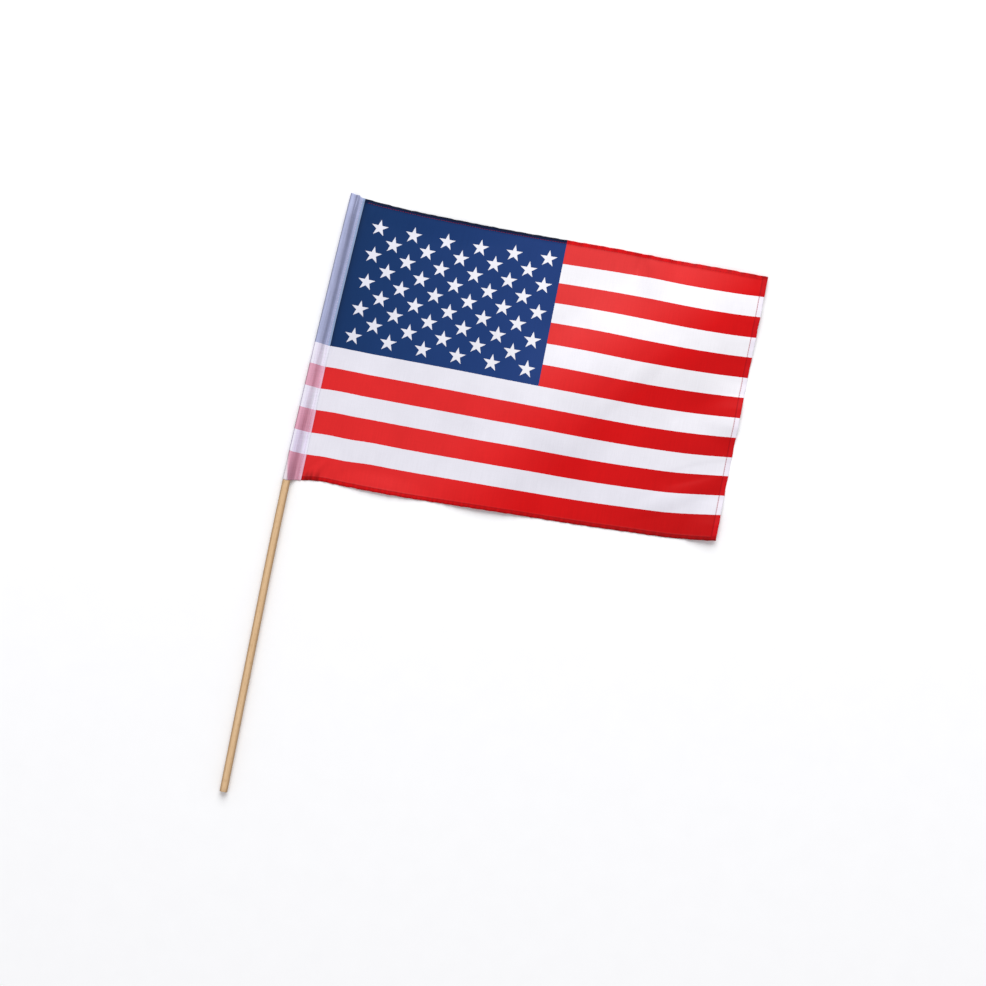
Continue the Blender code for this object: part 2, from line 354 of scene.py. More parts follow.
def print_height(along, up):
    """How far up the print a point lies.

    The print grows taller towards the fly and sags halfway up, as a parabola. Beside the stick the
    cloth's own edges spread, and the print runs straight on. On the sleeve it climbs evenly towards
    the far side, and by more above the foot.
    """
    top, bottom = through_sections(EDGE_TOPS, along), through_sections(EDGE_BOTTOMS, along)
    y = bottom * (1.0 - up) + top * up
    straight = np.maximum(along, PRINT_STRAIGHT)
    printed_top = through_sections(EDGE_TOPS, straight)
    printed_bottom = through_sections(EDGE_BOTTOMS, straight)
    printed_top = printed_top + (top - printed_top) * up
    printed_bottom = printed_bottom + (bottom - printed_bottom) * (1.0 - up)
    up = (y - printed_bottom) / (printed_top - printed_bottom)
    share = np.clip(along / FLY, 0.0, 1.0)
    sag = (PRINT_SAG[0] + PRINT_SAG[1] * share + PRINT_SAG[2] * share**2) * 4.0 * up * (1.0 - up)
    shifted = oval_relief(along, up * HOIST, PRINT_SHIFTS)
    climb = CLIMB_AT_FOOT + CLIMB_MORE_ABOVE * smooth_step(up / 0.4)
    climbed = climb * np.clip((CLIMB_FROM - along) / (CLIMB_FROM - CLIMB_TO), 0.0, 1.0)
    return HOIST * (up - PRINT_TALLER * share * up + sag) + shifted - climbed


def sleeve_edge(up):
    """The sewn edge's distance from the stick's axis: it draws in, and past the middle hardly."""
    lower = (SLEEVE_EDGE_MIDDLE - SLEEVE_EDGE_BOTTOM) * smooth_step(up / SLEEVE_NARROWS_UP_TO)
    return SLEEVE_EDGE_BOTTOM + lower + (SLEEVE_EDGE_TOP - SLEEVE_EDGE_MIDDLE) * up**2


def between(first, last, t):
    """Points spread evenly from one to the other, for columns of numbers."""
    return first + (last - first) * t


def sleeve_path(up):
    """The outer side of the sleeve at each row, as distances from the axis and heights.

    From the sewn edge the strip runs level to the seam, a cubic curve climbs from there to the
    tube, the tube is an ellipse round the stick down to its lowest point, and the cloth then runs
    along the floor to the seam again. Past the stick's tip the tube sinks and takes a crease.
    """
    up = up[:, None]
    edge = sleeve_edge(up)
    seam = edge - SLEEVE_STRIP
    strip_t = np.linspace(0.0, 1.0, STRIP_COLUMNS + 1)[None, :-1]
    strip = between(edge, seam, strip_t)
    strip_z = STRIP_TOP + 0.12 * MM * np.sin(math.pi * strip_t) + 0.0 * strip
    start_x = TUBE_HALF_WIDTH * math.cos(TUBE_START)
    start_z = TUBE_CENTRE + TUBE_HALF_HEIGHT * math.sin(TUBE_START)
    t = np.linspace(0.0, 1.0, SLOPE_COLUMNS + 1)[None, :-1]
    reach = 0.35 * np.hypot(seam - start_x, start_z - STRIP_TOP)
    leave = t * (1.0 - t) ** 2 * reach
    arrive = t * t * (1.0 - t) * reach
    blend = smooth_step(t)
    run, climb = -TUBE_HALF_WIDTH * math.sin(TUBE_START), TUBE_HALF_HEIGHT * math.cos(TUBE_START)
    heading = math.atan2(climb, run)
    slope = between(seam, start_x, blend) - leave - arrive * math.cos(heading)
    slope_z = between(STRIP_TOP, start_z, blend) - arrive * math.sin(heading) + 0.0 * slope
    turn = np.linspace(TUBE_START, 1.5 * math.pi, TUBE_COLUMNS)[None, :]
    tube = TUBE_HALF_WIDTH * np.cos(turn) + 0.0 * up
    tube_z = TUBE_CENTRE + TUBE_HALF_HEIGHT * np.sin(turn) + 0.0 * up
    floor = between(0.0, seam, np.linspace(0.0, 1.0, FLOOR_COLUMNS + 2)[None, 1:-1])
    floor_z = np.full_like(floor, FLOOR_GAP)
    path = np.concatenate([strip, slope, tube, floor], axis=1)
    height = np.concatenate([strip_z, slope_z, tube_z, floor_z], axis=1)
    tip = (STICK_LENGTH - STICK_BARE + 3.0 * MM) / HOIST
    empty = smooth_step((up - tip) / (1.0 - tip))
    squash = 1.0 - (1.0 - SLEEVE_END_HEIGHT) * empty
    height = STRIP_TOP + (height - STRIP_TOP) * np.where(height > STRIP_TOP, squash, 1.0)
    crease = bell(path, crease_place(up), 1.0 * MM) * (height > 2.5 * MM)
    height = height - crease * (0.12 * MM * creased(up) + 1.3 * MM * empty)
    wavering = 0.10 * MM * ripple(up * HOIST + 0.0 * path, 38.0 * MM, 0.4)
    return path, height + wavering * (height > 3.0 * MM)


def creased(up):
    """How much of the sleeve's lengthwise crease there is: none below, and all of it at the top."""
    return smooth_step((up - SLEEVE_CREASE_FROM) / (1.0 - SLEEVE_CREASE_FROM))


def crease_place(up):
    """How far from the axis the crease runs: it draws in towards the top."""
    return 3.4 * MM - 0.9 * MM * creased(up)


def sleeve_shade(along, up):
    """How much painted shade darkens the sleeve, where a single layer spans the hollow by the
    stick.

    The sewn strip is shaded less. Below the second white stripe both have more of it, and at the
    foot most. Above 1 the shade is grey: along the crease, on the far flank's rim and at the foot.
    """
    foot = 0.55 * (1.0 - smooth_step(up / 0.12)) + 0.75 * (1.0 - smooth_step((up - 0.19) / 0.09))
    limit = SPAN_TO + SPAN_FARTHER_AT_FOOT * (1.0 - smooth_step(up / 0.35))
    begun = smooth_step((along - SPAN_FROM) / (3.4 * MM))
    spanning = SPAN_SHADE * begun * smooth_step((limit - along) / (3.2 * MM))
    on_strip = STRIP_SHADE * smooth_step((along - limit + 2.0 * MM) / (2.0 * MM))
    crease = CREASE_SHADE * bell(along, crease_place(up), 0.9 * MM) * creased(up)
    rim = RIM_SHADE * smooth_step((SPAN_FROM - along) / (0.8 * MM))
    return np.maximum(spanning, on_strip) * (1.0 + foot) + crease + rim


def folded_share(along, up):
    """The strip's sewn edge, where its own fold lies under it and the back's inks show darker."""
    return smooth_step((along - sleeve_edge(up) + 3.0 * MM) / (2.0 * MM))


def unprinted_share(along, up):
    """The wedge at the foot of the sleeve's outer flank that the print doesn't reach."""
    height = up * HOIST
    width = UNPRINTED_WIDTH * np.clip(1.0 - height / UNPRINTED_UP_TO, 0.0, 1.0) ** 1.5
    across = smooth_step((width - TUBE_HALF_WIDTH - along) / (2.6 * MM) + 0.5)
    return across * smooth_step((UNPRINTED_UP_TO - height) / (12.0 * MM))


def field_shade(along, up):
    """How much painted shade darkens the flat cloth, beside the sewn strip and in its hems'
    gathers.

    Beside the strip it dies away over 2 mm, and in the canton over 30 mm as well. The gathers are
    an uneven wave cut to 0 and 1, and the lower corner by the sleeve has long dark tufts of them.
    """
    canton = smooth_step((up - 0.38) / 0.06)
    from_seam = np.maximum(along - sleeve_edge(up), 0.0)
    beside_seam = (0.15 + 0.45 * canton) * np.exp(-from_seam / (2.2 * MM))
    corner = bell(along, 24.0 * MM, 9.0 * MM)
    tufts = smooth_step(0.5 + 1.1 * ripple(along, 5.5 * MM, 5.2))
    length = (4.0 + 5.0 * corner * tufts) * MM
    bottom = bell(up * HOIST, 0.0, length) * (0.22 + 0.42 * tufts + 0.45 * corner)
    pinches = smooth_step(0.45 + 1.0 * ripple(along, 12.0 * MM, 2.9))
    top = bell((1.0 - up) * HOIST, 0.0, 3.2 * MM) * (0.05 + 0.55 * pinches)
    near_sleeve = 0.22 * canton * np.exp(-from_seam / (30.0 * MM))
    return np.clip(near_sleeve + beside_seam + bottom + top, 0.0, 0.95)


def field_columns(up):
    """How far from the axis the flat cloth's columns stand, closer together at both its ends."""
    edge = sleeve_edge(up)[:, None]
    seam = edge - SLEEVE_STRIP
    under = between(seam, edge, np.linspace(0.0, 1.0, 5)[None, :-1])
    near = np.array([0.0, 0.4, 1.0, 2.0, 3.2]) * MM
    hem = np.array([6.6, 5.9, 5.4, 4.9, 3.6, 2.4, 1.2, 0.0]) * MM
    width = FLY - SLEEVE_EDGE_BOTTOM
    middle = np.linspace(4.8 * MM, width - 8.0 * MM, 178)
    share = np.concatenate([near, middle, width - hem]) / width
    return np.concatenate([under, between(edge, FLY, share[None, :])], axis=1)


def rows_up():
    """The rows, closer together on the hems."""
    hem = np.array([0.0, 1.1, 2.2, 3.3, 4.0, 4.4, 4.8, 5.6]) * MM / HOIST
    middle = np.linspace(7.2 * MM / HOIST, 1.0 - 7.2 * MM / HOIST, 136)
    return np.concatenate([hem, middle, 1.0 - hem[::-1]])


def cloth_surfaces():
    """The cloth's outer and inner sides as grids, with the distances and rows they come from.

    The path across the flag is followed from the sewn edge, round the stick and out to the fly.
    The inner side lies one thickness in from the outer one, square to the path. The folds lift the
    flat cloth and the strip on it fully, and the slope and the run under the stick less and less.
    """
    up = rows_up()
    sleeve, sleeve_z = sleeve_path(up)
    field = field_columns(up)
    path = np.concatenate([sleeve, field], axis=1)
    height = np.concatenate([sleeve_z, np.full_like(field, FLOOR_GAP)], axis=1)
    up = up[:, None] + 0.0 * path
    count = sleeve.shape[1]
    column = np.arange(path.shape[1])[None, :]
    on_strip = column < STRIP_COLUMNS
    on_field = column >= count
    on_floor = (column >= count - FLOOR_COLUMNS) & ~on_field
    run_x = np.gradient(path, axis=1)
    run_z = np.gradient(height, axis=1)
    length = np.hypot(run_x, run_z)
    walked = np.cumsum(np.hypot(np.diff(path, axis=1), np.diff(height, axis=1)), axis=1)
    walked = np.concatenate([np.zeros((len(path), 1)), walked], axis=1)
    print_along = walked - walked[:, count : count + 1] + path[:, count : count + 1]
    print_along = np.where(on_field, path, print_along)
    sleeve_hem = hem_share(0.0, up)
    thick = np.where(on_field, thickness(path, up), CLOTH + SLEEVE_HEM_THICKER * sleeve_hem)
    thick = np.where(on_strip, STRIP_TOP - FLOOR_GAP - UNDER_STRIP, thick)
    raised = relief(path, up) - FLOOR_GAP
    share = np.where(on_strip | on_field, 1.0, bell(column, STRIP_COLUMNS, 4.0))
    share = np.where(on_floor, smooth_step(path / (sleeve_edge(up) - SLEEVE_STRIP)), share)
    hem_lift = np.where(on_strip, HEM_THICKER * sleeve_hem, 0.0)
    inner_path = path - thick * run_z / length
    inner_height = height + thick * run_x / length
    inner_path = np.where(on_field, path, inner_path)
    inner_height = np.where(on_field, height + thick, inner_height)
    lift = raised * share + hem_lift
    outer = on_plan(path, up, height + lift)
    inner = on_plan(inner_path, up, inner_height + lift)
    return outer, inner, path, up, print_along


def on_plan(along, up, height):
    """Points in the model's frame from distances along the cloth, rows and heights."""
    x, y = plan(along, up)
    return np.stack([x + MOUTH_X, y + MOUTH_Y, height], axis=-1)


def field_front(along, up):
    """The upper side of the flat cloth, in the model's frame."""
    return on_plan(along, up, relief(along, up) + thickness(along, up))


def grid_faces(numbers):
    """Four-sided faces between neighbouring rows and columns of a grid of point numbers."""
    corners = numbers[:-1, :-1], numbers[:-1, 1:], numbers[1:, 1:], numbers[1:, :-1]
    return np.stack(corners, axis=-1).reshape(-1, 4)


def put_into_mesh(name, points, faces, material, maps=(), values=()):
    """A mesh object from points and faces, with UV maps and point values given for each point."""
    mesh = bpy.data.meshes.new(name)
    mesh.from_pydata(points.reshape(-1, 3).tolist(), [], [list(face) for face in faces])
    mesh.materials.append(material)
    mesh.shade_smooth()
    corner = np.empty(len(mesh.loops), np.int32)
    mesh.loops.foreach_get("vertex_index", corner)
    for map_name, places in maps:
        layer = mesh.uv_layers.new(name=map_name)
        layer.data.foreach_set("uv", places.reshape(-1, 2)[corner].ravel().astype(np.float32))
    for value_name, numbers in values:
        attribute = mesh.attributes.new(value_name, "FLOAT", "POINT")
        attribute.data.foreach_set("value", numbers.ravel().astype(np.float32))
    made = bpy.data.objects.new(name, mesh)
    bpy.context.scene.collection.objects.link(made)
    return made


def make_cloth(material):
    """The flag's cloth as one closed thin sheet.

    Its grid goes round each row: the outer side from the sewn edge to the fly, a rim at the fly,
    the inner side back, and a rim at the sewn edge. A line of rim points closes the top and bottom
    hems, so that every edge is a rounded fold.
    """
    outer, inner, path, up, print_along = cloth_surfaces()
    rows, columns = path.shape
    middle = (outer + inner) / 2.0
    half = np.linalg.norm(outer - inner, axis=-1, keepdims=True) / 2.0
    away_fly = np.array([1.0, 0.0, 0.0])
    rim_fly = middle[:, -1:] + half[:, -1:] * away_fly
    rim_sewn = middle[:, :1] + half[:, :1] * away_fly
    ring = np.concatenate([outer, rim_fly, inner[:, ::-1], rim_sewn], axis=1)
    count = ring.shape[1]
    numbers = np.arange(rows * count).reshape(rows, count)
    wrapped = np.concatenate([numbers, numbers[:, :1]], axis=1)
    faces = list(grid_faces(wrapped)[:, ::-1])
    away_top = np.array([0.0, 1.0, 0.0])
    rims = []
    for row, side in ((0, -1.0), (rows - 1, 1.0)):
        rim = middle[row] + side * half[row] * away_top
        first = rows * count + len(rims) * columns
        rims.append(rim)
        rim_numbers = np.arange(first, first + columns)
        outer_numbers = numbers[row, :columns]
        inner_numbers = numbers[row, columns + 1 : 2 * columns + 1][::-1]
        lower = grid_faces(np.stack([outer_numbers, rim_numbers]))
        upper = grid_faces(np.stack([rim_numbers, inner_numbers]))
        fly_number, sewn_number = numbers[row, columns], numbers[row, -1]
        ends = [
            (outer_numbers[-1], fly_number, rim_numbers[-1]),
            (fly_number, inner_numbers[-1], rim_numbers[-1]),
            (sewn_number, outer_numbers[0], rim_numbers[0]),
            (inner_numbers[0], sewn_number, rim_numbers[0]),
        ]
        closing = [*lower, *upper, *ends]
        faces += [face[::-1] for face in closing] if side > 0.0 else closing
    points = np.concatenate([ring.reshape(-1, 3), *rims])

    def for_ring(outer_side, inner_side):
        """Values of both sides as one list: the ring's points, and then both rims'."""
        whole = [outer_side, inner_side[:, -1:], inner_side[:, ::-1], outer_side[:, :1]]
        ring_values = np.concatenate(whole, axis=1).ravel()
        return np.concatenate([ring_values, outer_side[0], outer_side[-1]])

    up_print = print_height(path, up)
    printed = np.stack([for_ring(print_along, print_along), for_ring(up_print, up_print)], axis=-1)
    cut = np.stack([for_ring(path, path), for_ring(up * HOIST, up * HOIST)], axis=-1)
    on_sleeve = np.arange(columns)[None, :] < columns - field_columns(rows_up()).shape[1]
    back = np.where(on_sleeve, 1.0, 1.0 - hem_share(path, up))
    shade = np.where(on_sleeve, sleeve_shade(path, up), 0.0)
    unprinted = np.where(on_sleeve, unprinted_share(path, up), 0.0)
    folded = np.where(on_sleeve, folded_share(path, up), 0.0)
    maps = (("print", printed), ("cut", cut))
    values = (
        ("back_side", for_ring(back, 0.0 * back)),
        ("shade", for_ring(shade, np.where(on_sleeve, 0.0, field_shade(path, up)))),
        ("unprinted", for_ring(unprinted, 0.0 * unprinted)),
        ("folded", for_ring(folded, 0.0 * folded)),
    )
    return put_into_mesh("flag_cloth_sewn", points, faces, material, maps, values)


def stitches(starts, ends, lift, radius):
    """A run of stitches: each is a short thread that rises out of the cloth and dips back.

    Along a stitch, t from -1 to 1, its middle is lifted by lift times (1 - 2 t squared), and its
    radius is drawn in to nearly nothing at both ends.
    """
    t = np.array([-1.0, -0.72, -0.25, 0.25, 0.72, 1.0])
    turn = np.linspace(0.0, 2.0 * math.pi, 7)[:-1]
    middle = (starts + ends) / 2.0
    half = (ends - starts) / 2.0
    heading = half / np.linalg.norm(half, axis=1, keepdims=True)
    side = np.cross(heading, np.array([0.0, 0.0, 1.0]))
    over = np.cross(side, heading)
    centre = middle[:, None] + half[:, None] * t[None, :, None]
    centre = centre + (lift * (1.0 - 2.0 * t**2))[None, :, None] * over[:, None]
    girth = radius * np.sqrt(1.02 - t**2)
    ring_side = (girth[:, None] * np.cos(turn))[None, :, :, None] * side[:, None, None]
    ring_over = (girth[:, None] * np.sin(turn))[None, :, :, None] * over[:, None, None]
    points = centre[:, :, None] + ring_side + ring_over
    numbers = np.arange(points.size // 3).reshape(points.shape[:3])
    wrapped = np.concatenate([numbers, numbers[:, :, :1]], axis=2)
    faces = [grid_faces(one) for one in wrapped]
    faces = [face[::-1] for face in np.concatenate(faces)]
    faces += [tuple(end) for end in numbers[:, 0]]
    faces += [tuple(end[::-1]) for end in numbers[:, -1]]
    return points.reshape(-1, 3), faces


def stitch_ends(first, last, pitch, share):
    """Starts and ends of stitches at an even pitch between two places, each a share of it long."""
    count = max(1, int(round((last - first) / pitch)))
    starts = first + (last - first) * np.arange(count) / count
    return starts, starts + share * (last - first) / count


def make_hem_thread(material):
    """The thread along the top, bottom and fly hems, in one piece."""
    inside = HEM / HOIST
    runs = []
    for up in (0.92 * inside, 1.0 - 0.92 * inside):
        first, last = SLEEVE_EDGE_BOTTOM + 1.0 * MM, FLY - 0.8 * FLY_HEM
        start, end = stitch_ends(first, last, HEM_STITCH, HEM_STITCH_SHARE)
        wander = up + 0.25 * MM / HOIST * ripple(start, 60.0 * MM, 2.0)
        runs.append((field_front(start, wander), field_front(end, wander)))
    start, end = stitch_ends(inside, 1.0 - inside, HEM_STITCH / HOIST, HEM_STITCH_SHARE)
    fly = FLY - 0.94 * FLY_HEM + 0.25 * MM * ripple(start * HOIST, 60.0 * MM, 1.0)
    runs.append((field_front(fly, start), field_front(fly, end)))
    return make_thread("hem_thread", runs, material)


def make_seam_thread(material):
    """The paler thread down the sleeve's seam."""
    start, end = stitch_ends(0.006, 0.994, SEAM_STITCH / HOIST, SEAM_STITCH_SHARE)
    return make_thread("seam_thread", [(strip_top(start), strip_top(end))], material)


def make_thread(name, runs, material):
    """All stitches of some runs as one piece."""
    points, faces, total = [], [], 0
    for starts, ends in runs:
        more_points, more_faces = stitches(starts, ends, THREAD_LIFT, THREAD_RADIUS)
        points.append(more_points)
        faces += [[number + total for number in face] for face in more_faces]
        total += len(more_points)
    return put_into_mesh(name, np.concatenate(points), faces, material)


def strip_top(up):
    """The sleeve's line of stitches: on the sewn strip, SEAM_IN of the way in from its edge."""
    along = sleeve_edge(up) - SEAM_IN * SLEEVE_STRIP
    lift = relief(along, up) - FLOOR_GAP + HEM_THICKER * hem_share(0.0, up)
    return on_plan(along, up, STRIP_TOP + THREAD_LIFT + lift)


def make_stick(material):
    """The dowel: circles along its axis, each nearly round, with soft end edges and flat ends."""
    butt, tip = -STICK_BARE, STICK_LENGTH - STICK_BARE
    y = np.linspace(butt + STICK_CHAMFER, tip - STICK_CHAMFER, 121)
    y = np.concatenate([[butt, butt, butt + 0.15 * MM], y, [tip - 0.15 * MM, tip, tip]])
    radius = np.full(len(y), STICK_RADIUS)
    radius[[1, -2]] -= STICK_CHAMFER
    radius[[2, -3]] -= 0.35 * STICK_CHAMFER
    radius[[0, -1]] = 0.25 * MM
    turn = 2.0 * math.pi * np.arange(48) / 48
    uneven = 1.0 + 0.004 * ripple(y, 140.0 * MM, 2.2)[:, None] * np.cos(turn - 0.8)
    wide = radius[:, None] * np.minimum(uneven, 1.0)
    x = (stick_x(y) + bulge(y))[:, None] + wide * np.cos(turn)
    z = stick_z(y)[:, None] + wide * np.sin(turn)
    grid = np.stack([x + MOUTH_X, np.broadcast_to(y[:, None] + MOUTH_Y, x.shape), z], axis=-1)
    numbers = np.arange(x.size).reshape(x.shape)
    wrapped = np.concatenate([numbers, numbers[:, :1]], axis=1)
    faces = [face[::-1] for face in grid_faces(wrapped)]
    faces += [tuple(numbers[0]), tuple(numbers[-1, ::-1])]
    around = np.broadcast_to(turn * STICK_RADIUS, x.shape)
    lengthwise = np.broadcast_to(y[:, None], x.shape)
    grain = np.stack([around, lengthwise], axis=-1)
    return put_into_mesh("stick_dowel", grid, faces, material, (("grain", grain),))


def colour(hex_code):
    """An sRGB hex value as linear RGBA."""
    srgb = [int(hex_code[k : k + 2], 16) / 255.0 for k in (1, 3, 5)]
    return (*(c / 12.92 if c <= 0.04045 else ((c + 0.055) / 1.055) ** 2.4 for c in srgb), 1.0)


def add(tree, kind, links, **settings):
    """Adds a node with its settings. links gives each input's source socket or its fixed value."""
    node = tree.nodes.new(kind)
    for name, value in settings.items():
        setattr(node, name, value)
    for socket, source in links.items():
        if isinstance(source, bpy.types.NodeSocket):
            tree.links.new(source, node.inputs[socket])
        else:
            node.inputs[socket].default_value = source
    return node.outputs


def new_material(name):
    """An empty material with its output node, and its tree."""
    material = bpy.data.materials.new(name)
    material.use_nodes = True
    material.node_tree.nodes.clear()
    return material, material.node_tree


def star_rows(tree, along, up, first_along, first_up, columns, rows):
    """Ink of one block of five-pointed stars, one tip up, at even pitches.

    The nearest star's place is taken away, and the angle from its upper tip is folded into one
    tenth of a turn. A point is inside where r times the cosine of (angle - 72 degrees) is under
    STAR_RADIUS times the cosine of 72 degrees.
    """
    ways = ((along, first_along, STAR_ALONG, columns), (up, first_up, -STAR_DOWN, rows))
    offsets = []
    for place, first, pitch, most in ways:
        counted = {0: place, 1: 1.0 / pitch, 2: -first / pitch}
        steps = add(tree, MATH, counted, operation="MULTIPLY_ADD")[0]
        nearest = add(tree, MATH, {0: steps}, operation="ROUND")[0]
        held = add(tree, "ShaderNodeClamp", {0: nearest, 1: 0.0, 2: most - 1.0})[0]
        rest = add(tree, MATH, {0: steps, 1: held}, operation="SUBTRACT")[0]
        offsets.append(add(tree, MATH, {0: rest, 1: pitch}, operation="MULTIPLY")[0])
    tip_angle = math.radians(72.0)
    angle = add(tree, MATH, {0: offsets[0], 1: offsets[1]}, operation="ARCTAN2")[0]
    spoke = add(tree, MATH, {0: angle, 1: 1.0 / tip_angle}, operation="MULTIPLY")[0]
    whole = add(tree, MATH, {0: spoke}, operation="ROUND")[0]
    away = add(tree, MATH, {0: spoke, 1: whole}, operation="SUBTRACT")[0]
    folded = add(tree, MATH, {0: away}, operation="ABSOLUTE")[0]
    slant = add(tree, MATH, {0: folded, 1: tip_angle, 2: -tip_angle}, operation="MULTIPLY_ADD")[0]
    cosine = add(tree, MATH, {0: slant}, operation="COSINE")[0]
    both = add(tree, "ShaderNodeCombineXYZ", {0: offsets[0], 1: offsets[1]})[0]
    radius = add(tree, "ShaderNodeVectorMath", {0: both}, operation="LENGTH")["Value"]
    reach = add(tree, MATH, {0: radius, 1: cosine}, operation="MULTIPLY")[0]
    side = STAR_RADIUS * math.cos(tip_angle)
    return add(tree, MATH, {0: reach, 1: side}, operation="LESS_THAN")[0]


def stretched_noise(tree, place, per_metre, detail):
    """Noise over a map, with so many of its spots to a metre across the map and up it."""
    scaled = add(tree, "ShaderNodeMapping", {0: place, 3: (*per_metre, 1.0)})[0]
    links = {"Vector": scaled, "Scale": 1.0, "Detail": detail}
    return add(tree, "ShaderNodeTexNoise", links)["Fac"]


def printed_cloth():
    """Printed satin polyester: thin woven cloth, dyed from the front, so that its back is paler.

    To the eye it has full flat colours with a soft silky shine, fine streaks where threads run up
    the hoist, and fuller colour on the hems, where three layers lie on each other. Painted light
    and shade lie over the colours: brighter towards the upper fly, darker towards its lower
    corner, beside the sleeve and in the gathers.
    """
    material, tree = new_material("printed satin polyester")
    printed = add(tree, "ShaderNodeUVMap", {}, uv_map="print")[0]
    cut = add(tree, "ShaderNodeUVMap", {}, uv_map="cut")[0]

    # The ink's edges follow the threads, so they waver by a fifth of a millimetre.
    links = {"Vector": printed, "Scale": 700.0, "Detail": 1.0}
    bleeding = add(tree, "ShaderNodeTexNoise", links)["Color"]
    half = (0.5, 0.5, 0.5)
    shifted = add(tree, "ShaderNodeVectorMath", {0: bleeding, 1: half}, operation="SUBTRACT")[0]
    scaled = add(tree, "ShaderNodeVectorMath", {0: shifted, 3: 0.45 * MM}, operation="SCALE")[0]
    inked = add(tree, "ShaderNodeVectorMath", {0: printed, 1: scaled}, operation="ADD")[0]
    along, up = add(tree, "ShaderNodeSeparateXYZ", {0: inked})[:2]

    # Stripes: red and white in turn, the lowest and the highest one red to the very edge.
    counted = {0: up, 1: 1.0 / STRIPE, 2: -BOTTOM_STRIPE_TOP / STRIPE}
    stripe = add(tree, MATH, counted, operation="MULTIPLY_ADD")[0]
    held = add(tree, "ShaderNodeClamp", {0: stripe, 1: -0.5, 2: 11.5})[0]
    pair = add(tree, MATH, {0: held, 1: 0.5}, operation="MULTIPLY")[0]
    within = add(tree, MATH, {0: pair}, operation="FRACT")[0]
    red = add(tree, MATH, {0: within, 1: WHITE_SHARE}, operation="GREATER_THAN")[0]
    beside = add(tree, MATH, {0: along, 1: CANTON_WIDTH}, operation="LESS_THAN")[0]
    above = add(tree, MATH, {0: up, 1: CANTON_FOOT}, operation="GREATER_THAN")[0]
    canton = add(tree, MATH, {0: beside, 1: above}, operation="MULTIPLY")[0]

    # Stars: five rows of six, and four rows of five set between them.
    long_rows = star_rows(tree, along, up, FIRST_STAR_ALONG, FIRST_STAR_UP, 6, 5)
    half_along, half_up = FIRST_STAR_ALONG + STAR_ALONG / 2.0, FIRST_STAR_UP - STAR_DOWN / 2.0
    short_rows = star_rows(tree, along, up, half_along, half_up, 5, 4)
    stars = add(tree, MATH, {0: long_rows, 1: short_rows}, operation="MAXIMUM")[0]

    # Painted sheen and shade: the red is less pale, and further on darker, towards the fly's
    # lower corner.
    cut_along, cut_up = add(tree, "ShaderNodeSeparateXYZ", {0: cut})[:2]
    slanted = add(tree, MATH, {0: cut_up, 1: -0.7, 2: cut_along}, operation="MULTIPLY_ADD")[0]
    less_painted_sheen = add(tree, "ShaderNodeMapRange", {0: slanted, 1: 0.115, 2: 0.235})[0]
    painted_shade_red = add(tree, "ShaderNodeMapRange", {0: slanted, 1: 0.14, 2: 0.42})[0]

    # Painted light and shade: the upper fly is brighter than the rest of the cloth, and its white
    # is without a blue cast; the rest of the cloth is painted dimmer.
    rising = add(tree, MATH, {0: cut_along, 1: 0.35, 2: cut_up}, operation="MULTIPLY_ADD")[0]
    painted_dim = add(tree, "ShaderNodeMapRange", {0: rising, 1: 0.17, 2: 0.33, 3: 1.0, 4: 0.0})[0]

    def painted_dimmed(ink):
        """A white ink, a little darker by painted shade away from the upper fly."""
        return add(tree, MIX, {0: painted_dim, 6: ink, 7: colour("#f4f4f4")}, **MULTIPLIED)[2]

    def print_in(white_ink, red_ink, navy_ink, star_ink):
        """The whole print in four inks."""
        stripes = add(tree, MIX, {0: red, 6: white_ink, 7: red_ink}, **COVERED)[2]
        with_canton = add(tree, MIX, {0: canton, 6: stripes, 7: navy_ink}, **COVERED)[2]
        return add(tree, MIX, {0: stars, 6: with_canton, 7: painted_dimmed(star_ink)}, **COVERED)[2]

    def inks(white_ink, red_ink, shaded_red_ink, navy_ink, star_ink):
        """The whole print in even inks, but for the red, which painted shade runs into a darker
        one.
        """
        links = {0: painted_shade_red, 6: colour(red_ink), 7: colour(shaded_red_ink)}
        reds = add(tree, MIX, links, **COVERED)[2]
        return print_in(painted_dimmed(colour(white_ink)), reds, colour(navy_ink), colour(star_ink))

    # Painted light and sheen: the white and the red are brighter and paler towards the upper fly.
    links = {0: painted_dim, 6: colour("#eeecf0"), 7: colour("#dedce4")}
    white_field = add(tree, MIX, links, **COVERED)[2]
    red_field = add(tree, MIX, {0: painted_dim, 6: colour("#da3737"), 7: colour("#d62728")}, **COVERED)[2]
    # Towards the lower fly the red loses its painted sheen, and painted shade darkens it further
    # on.
    red_field = add(tree, MIX, {0: less_painted_sheen, 6: red_field, 7: colour("#da1013")}, **COVERED)[2]
    red_field = add(tree, MIX, {0: painted_shade_red, 6: red_field, 7: colour("#d7d7d7")}, **MULTIPLIED)[2]
    # Painted light: the navy and the stars grow brighter towards the fly.
    painted_light_along = add(tree, "ShaderNodeMapRange", {0: cut_along, 1: 0.03, 2: 0.23})[0]
    links = {0: painted_light_along, 6: colour("#143464"), 7: colour("#203b74")}
    navy_field = add(tree, MIX, links, **COVERED)[2]
    links = {0: painted_light_along, 6: colour("#e3e3ed"), 7: colour("#eae9ee")}
    star_field = add(tree, MIX, links, **COVERED)[2]
    front = print_in(white_field, red_field, navy_field, star_field)
    back = inks("#f1eef8", "#dfa5b9", "#dfa5b9", "#aab0d0", "#c8cadc")
